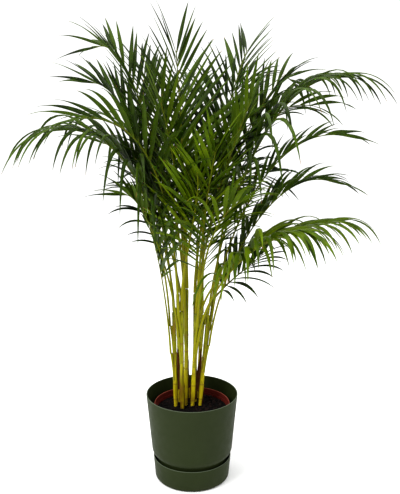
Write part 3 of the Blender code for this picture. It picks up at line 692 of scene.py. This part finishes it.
def husk(cane, chance):
    """Points and faces of one sheath: an outer and an inner sheet, joined round their border."""
    start = SOIL_TOP + chance.uniform(0, 0.06)
    height = chance.uniform(0.05, 0.11)
    facing = math.pi / 2 if CANES[cane][0][1] > REAR_ROW else -math.pi / 2
    middle_turn = facing + chance.uniform(-0.8, 0.8)
    spread = chance.uniform(0.7, 1.5)
    columns, rows = 8, 12
    points, faces = [], []
    for shell in (0.0004, 0.0010):
        for row in range(rows + 1):
            t = row / rows
            centre, along, radius = cane_axis(cane, start + height * t)
            side = unit(np.cross(along, (0.0, 1.0, 0.0)))
            other = np.cross(along, side)
            narrowing = (1 - t ** 2.2) * 0.96 + 0.04
            for column in range(columns + 1):
                c = 2 * column / columns - 1
                turn = middle_turn + c * spread * narrowing
                lift = shell + 0.0016 * t ** 2 + 0.0004 * math.sin(9 * c + 20 * t)
                reach = radius * 1.03 + lift
                points.append(centre + reach * (math.cos(turn) * side + math.sin(turn) * other))
    step = columns + 1
    sheet = (rows + 1) * step
    for row in range(rows):
        for column in range(columns):
            a = row * step + column
            faces.append((a, a + 1, a + step + 1, a + step))
            faces.append((a + sheet, a + sheet + step, a + sheet + step + 1, a + sheet + 1))
    border = list(range(columns))
    border += [columns + row * step for row in range(rows)]
    border += [rows * step + columns - k for k in range(columns)]
    border += [(rows - row) * step for row in range(rows)]
    for a, b in zip(border, border[1:] + border[:1]):
        faces.append((a, a + sheet, b + sheet, b))
    return points, faces


def add_husks(finish):
    """Dry brown sheaths that cling round the lower canes, torn to points at their tops."""
    chance = random.Random("husks")
    points, faces = [], []
    for cane in CANES:
        for _ in range(HUSKS_PER_CANE):
            more_points, more_faces = husk(cane, chance)
            faces += [tuple(i + len(points) for i in face) for face in more_faces]
            points += more_points
    outward(new_piece("dry_sheaths", points, faces, [finish], "cane"))


# ---- fronds ---------------------------------------------------------------------------------------
def polar(r, azimuth, z):
    turn = math.radians(azimuth)
    return np.array((r * math.cos(turn), r * math.sin(turn), z))


def midline(frond):
    """Evenly spaced points of a frond's midline, from its cane, past its shoulder, to its tip."""
    centre, along, radius = cane_axis(frond.cane, frond.start)
    out = polar(1, frond.azimuth[0], 0)
    out = unit(out - along * out.dot(along))
    if frond.start >= CANES[frond.cane][1][2] - GAP:
        start = centre + along * STALK_GAP
    else:
        start = centre + out * (radius + MIDRIB_RADII[0] + STALK_GAP)
    shoulder = polar(frond.shoulder[0], frond.azimuth[0], frond.shoulder[1])
    tip = polar(frond.tip[0], frond.azimuth[1], frond.tip[1])
    first = start + unit(along + START_LEAN * out) * START_PULL * np.linalg.norm(shoulder - start)
    t = SHOULDER_SHARE
    rest = shoulder - (1 - t) ** 3 * start - 3 * (1 - t) ** 2 * t * first - t ** 3 * tip
    second = rest / (3 * (1 - t) * t ** 2)
    u = np.linspace(0, 1, LINE_STEPS)[:, None]
    v = 1 - u
    curve = v ** 3 * start + 3 * v ** 2 * u * first + 3 * v * u ** 2 * second + u ** 3 * tip
    run = np.concatenate(([0], np.cumsum(np.linalg.norm(np.diff(curve, axis=0), axis=1))))
    even = np.linspace(0, run[-1], LINE_STEPS)
    return np.stack([np.interp(even, run, curve[:, k]) for k in range(3)], axis=1)


def line_frames(line, azimuth):
    """Forward, leftward and upper-face directions at each point of a midline."""
    forward = np.gradient(line, axis=0)
    forward /= np.linalg.norm(forward, axis=1)[:, None]
    left = polar(1, azimuth + 90, 0)
    lefts = []
    for ahead in forward:
        left = unit(left - ahead * ahead.dot(left))
        lefts.append(left)
    lefts = np.array(lefts)
    return forward, lefts, np.cross(forward, lefts)


def at_share(values, share):
    """The value at a share of a midline's length."""
    place = share * (LINE_STEPS - 1)
    return np.array([np.interp(place, range(LINE_STEPS), values[:, k]) for k in range(3)])


class Growth:
    """The points, faces, blade coordinates and tints of one frond, gathered piece by piece."""

    def __init__(self):
        self.points, self.faces, self.finish, self.blade, self.tint = [], [], [], [], []

    def rings(self, rings, places, tints, finish):
        """Closed rings of equal count joined into one skin; places are each point's blade coordinates."""
        first, count = len(self.points), len(rings[0])
        for ring, place, tint in zip(rings, places, tints):
            self.points += list(ring)
            self.blade += place
            self.tint += [tint] * count
        for r in range(len(rings) - 1):
            a, b = first + r * count, first + (r + 1) * count
            for k in range(count):
                self.faces.append((a + k, a + (k + 1) % count, b + (k + 1) % count, b + k))
        self.faces.append(tuple(first + k for k in range(count)))
        self.faces.append(tuple(first + (len(rings) - 1) * count + k for k in range(count)))
        self.finish += [finish] * (len(self.faces) - len(self.finish))


def grow_midrib(growth, line, frames):
    """The stalk, wide and clasping at the cane, grooved on top, thin at the tip."""
    count, rings, places = 10, [], []
    for share in np.linspace(0, 1, 56):
        centre = at_share(line, share)
        _, left, face = (unit(at_share(values, share)) for values in frames)
        radius = (MIDRIB_RADII[0] + (MIDRIB_RADII[1] - MIDRIB_RADII[0]) * share) * MIDRIB_SLIM
        clasp = 1 + 0.35 * max(0.0, 1 - share / 0.10)
        ring = []
        for k in range(count):
            turn = 2 * math.pi * k / count
            up = math.sin(turn)
            groove = 0.72 if up > 0.9 else 1.0
            ring.append(centre + radius * (clasp * math.cos(turn) * left + 0.9 * up * groove * face))
        rings.append(ring)
        places.append([(k / count, share) for k in range(count)])
    growth.rings(rings, places, [0.5] * len(rings), 1)


def grow_sheath(growth, frond, line):
    """The foot of a stalk that leaves its cane below the top: it runs down the cane and clasps it."""
    if frond.start >= CANES[frond.cane][1][2] - GAP:
        return
    centre, along, _ = cane_axis(frond.cane, frond.start)
    out = unit(line[0] - centre)
    side = np.cross(along, out)
    rings, places = [], []
    count, steps = 12, 14
    for step in range(steps + 1):
        t = step / steps
        z = frond.start - SHEATH_LENGTH * (1 - t)
        middle, _, radius = cane_axis(frond.cane, z)
        spread = 0.35 + 1.05 * (1 - t)
        thick = 0.0006 + 0.0062 * t ** 1.6
        ring = []
        for k in range(count):
            half = count // 2
            inner = k >= half
            c = (k / (half - 1) * 2 - 1) if not inner else (1 - (k - half) / (half - 1) * 2)
            reach = radius * 0.97 + (0.0002 if inner else thick * (1 - 0.55 * c * c))
            turn = c * spread
            ring.append(middle + reach * (math.cos(turn) * out + math.sin(turn) * side))
        rings.append(ring)
        places.append([(k / count, 0.0) for k in range(count)])
    growth.rings(rings, places, [0.5] * len(rings), 1)


def leaflet_line(root, direction, length, droop):
    """Points and directions of a leaflet's midline, which bends down more towards its tip."""
    points, headings = [root], [direction]
    even, growing, power = DROOP_CURVE
    for k in range(LEAFLET_STEPS):
        u = (k + 0.5) / LEAFLET_STEPS
        heading = unit(direction - UP * droop * (even * u + growing * u ** power))
        points.append(points[-1] + heading * length / LEAFLET_STEPS)
        headings.append(heading)
    return points, headings


def random_leaflet(frond, s, chance):
    """A leaflet's shape at a share s of the way from the first pair to the last."""
    angle = LEAFLET_ANGLES[0] - LEAFLET_ANGLES[1] * s ** 0.9 + chance.uniform(-5, 5)
    lift = LEAFLET_LIFT + chance.uniform(-9, 9)
    swell = 0.70 + 0.30 * math.sin(math.pi * min(1, s * 1.25) ** 0.8) - 0.08 * s
    length = LEAFLET_STRETCH * frond.leaflet * swell * chance.uniform(0.90, 1.06)
    droop = frond.droop * chance.uniform(0.7, 1.3)
    width = frond.width * (0.80 + 0.25 * math.sin(math.pi * s ** 0.7)) * chance.uniform(0.85, 1.08)
    twist = chance.uniform(-30, 25)
    tint = chance.random() ** 1.3
    return Leaflet(math.radians(angle), math.radians(lift), length, width, droop, twist, tint)


def grow_leaflet(growth, root, frame, side, leaflet):
    """A thin folded blade, narrow at its foot, pointed at its tip, that bends down and twists."""
    forward, left, face = frame
    sideways = math.cos(leaflet.lift) * left * side + math.sin(leaflet.lift) * face
    direction = unit(math.cos(leaflet.angle) * forward + math.sin(leaflet.angle) * sideways)
    points, headings = leaflet_line(root, direction, leaflet.length, leaflet.droop)
    rings, places = [], []
    for step, (centre, heading) in enumerate(zip(points, headings)):
        u = step / LEAFLET_STEPS
        across = unit(forward - heading * heading.dot(forward))
        above = np.cross(heading, across) * side
        if above.dot(face) < 0:
            above = -above
        louvre = math.radians(LEAFLET_LOUVRE + leaflet.twist * u)
        turned_across = across * math.cos(louvre) - above * math.sin(louvre)
        turned_above = above * math.cos(louvre) + across * math.sin(louvre)
        wide = leaflet.width * min(1.0, 0.28 + 2.4 * u) * max(0.03, 1 - u ** 2.3) ** 0.9
        thick = turned_above * BLADE_THICKNESS
        rear = centre - turned_across * wide / 2
        front = centre + turned_across * wide / 2
        ridge = centre + turned_above * (wide * BLADE_FOLD)
        rings.append((rear, ridge, front, front - thick, ridge - thick, rear - thick))
        places.append([(0.0, u), (0.5, u), (1.0, u), (1.0, u), (0.5, u), (0.0, u)])
    growth.rings(rings, places, [leaflet.tint] * len(rings), 0)


def add_frond(name, frond, finishes):
    """One frond as one piece, with its blade coordinates and a tint for each leaflet."""
    chance = random.Random(name)
    line = midline(frond)
    frames = line_frames(line, frond.azimuth[0])
    growth = Growth()
    grow_sheath(growth, frond, line)
    grow_midrib(growth, line, frames)
    pairs = round(frond.pairs * PAIRS_PER_SOLID_PAIR)
    for pair in range(pairs):
        s = pair / (pairs - 1)
        share = frond.bare + (1 - frond.bare) * s * 0.99
        for side in (1, -1):
            place = min(1.0, share + chance.uniform(-0.25, 0.25) * (1 - frond.bare) / pairs)
            frame = [unit(at_share(values, place)) for values in frames]
            radius = (MIDRIB_RADII[0] + (MIDRIB_RADII[1] - MIDRIB_RADII[0]) * place) * 0.6
            root = at_share(line, place) + frame[1] * side * radius
            grow_leaflet(growth, root, frame, side, random_leaflet(frond, s, chance))
    slot = "young_leaf" if name in YOUNG_AND_LIT_SLOT else "leaf"
    piece = new_piece("palm_frond_" + name, growth.points, growth.faces, finishes, slot,
                      "frond_" + name, face_materials=growth.finish, sharp_from=65)
    blade = piece.data.uv_layers.new(name="blade")
    corners = np.zeros(len(piece.data.loops), dtype=np.int32)
    piece.data.loops.foreach_get("vertex_index", corners)
    blade.data.foreach_set("uv", np.array(growth.blade, dtype=np.float32)[corners].ravel())
    piece.data.attributes.new("tint", "FLOAT", "POINT").data.foreach_set("value", growth.tint)
    outward(piece)


# ---- stage ----------------------------------------------------------------------------------------
def area_light(name, place, size, power):
    """A soft rectangular light that points at the plant."""
    lamp = bpy.data.lights.new(name, "AREA")
    lamp.shape = "RECTANGLE"
    lamp.size, lamp.size_y = size
    lamp.energy = power
    light = bpy.data.objects.new(name, lamp)
    light.location = place
    light.rotation_euler = (Vector(LIGHT_AIM) - Vector(place)).to_track_quat("-Z", "Y").to_euler()
    bpy.context.scene.collection.objects.link(light)


def add_stage():
    mesh = bpy.data.meshes.new("floor")
    corners = [(x * FLOOR_HALF, y * FLOOR_HALF, 0) for x, y in ((-1, -1), (1, -1), (1, 1), (-1, 1))]
    mesh.from_pydata(corners, [], [(0, 1, 2, 3)])
    n = Nodes("pale_floor")
    n.shader.inputs["Base Color"].default_value = FLOOR_WHITE
    n.shader.inputs["Roughness"].default_value = 0.9
    mesh.materials.append(n.material)
    floor = bpy.data.objects.new("floor", mesh)
    bpy.context.scene.collection.objects.link(floor)
    world = bpy.data.worlds.new("studio")
    world.use_nodes = True
    world.node_tree.nodes["Background"].inputs["Color"].default_value = (1.0, 1.0, 1.0, 1)
    world.node_tree.nodes["Background"].inputs["Strength"].default_value = 1.0
    bpy.context.scene.world = world
    bpy.context.scene.view_settings.view_transform = "Standard"
    bpy.context.scene.view_settings.look = "Medium High Contrast"
    for name, settings in LIGHTS.items():
        area_light(name, *settings)


def add_camera():
    lens = bpy.data.cameras.new("camera")
    lens.lens = LENS
    camera = bpy.data.objects.new("camera", lens)
    camera.location = CAMERA_PLACE
    camera.rotation_euler = (math.radians(CAMERA_PITCH), 0, 0)
    bpy.context.scene.collection.objects.link(camera)
    bpy.context.scene.camera = camera


def main():
    add_camera()
    add_stage()
    # each plastic gets a painted highlight along the top edge of its rim
    tray_green = plastic_material("olive_tray_plastic", OLIVE, OLIVE_DUST, 0.55, 0.03,
                                  TRAY_HEIGHT - RIM_HIGHLIGHT_BAND, OLIVE_RIM_HIGHLIGHT)
    shell_green = plastic_material("olive_plastic", OLIVE, OLIVE_DUST, 0.55, 0.10,
                                   PLANTER_HEIGHT - RIM_HIGHLIGHT_BAND, OLIVE_RIM_HIGHLIGHT)
    brown = plastic_material("terracotta_plastic", TERRACOTTA, TERRACOTTA_DUST, 0.50, 0.21,
                             POT_RIM_HEIGHT - RIM_HIGHLIGHT_BAND, TERRACOTTA_RIM_HIGHLIGHT)
    earth = soil_material("potting_mix", *SOIL_TONES)
    bark = soil_material("bark_chips", *BARK_TONES)
    add_tray(tray_green)
    add_planter(shell_green)
    add_growing_pot(brown)
    add_soil(earth)
    add_chips("soil_crumbs", earth, *SOIL_CRUMBS)
    add_chips("bark_bits", bark, *BARK_BITS)
    cane_skin = cane_material()
    for cane in CANES:
        add_cane(cane, cane_skin)
    add_husks(husk_material())
    finishes = {}
    for name, frond in FRONDS.items():
        # one leaf and one midrib finish per youth value: lighter copies for young and lit fronds, darker
        # ones for old fronds and painted shade
        youth = frond.youth
        if youth not in finishes:
            tag = str(round(youth * 100))
            finishes[youth] = [leaf_material("leaf_age_and_light_" + tag, youth),
                               midrib_material("midrib_age_and_light_" + tag, youth)]
        add_frond(name, frond, finishes[youth])


main()
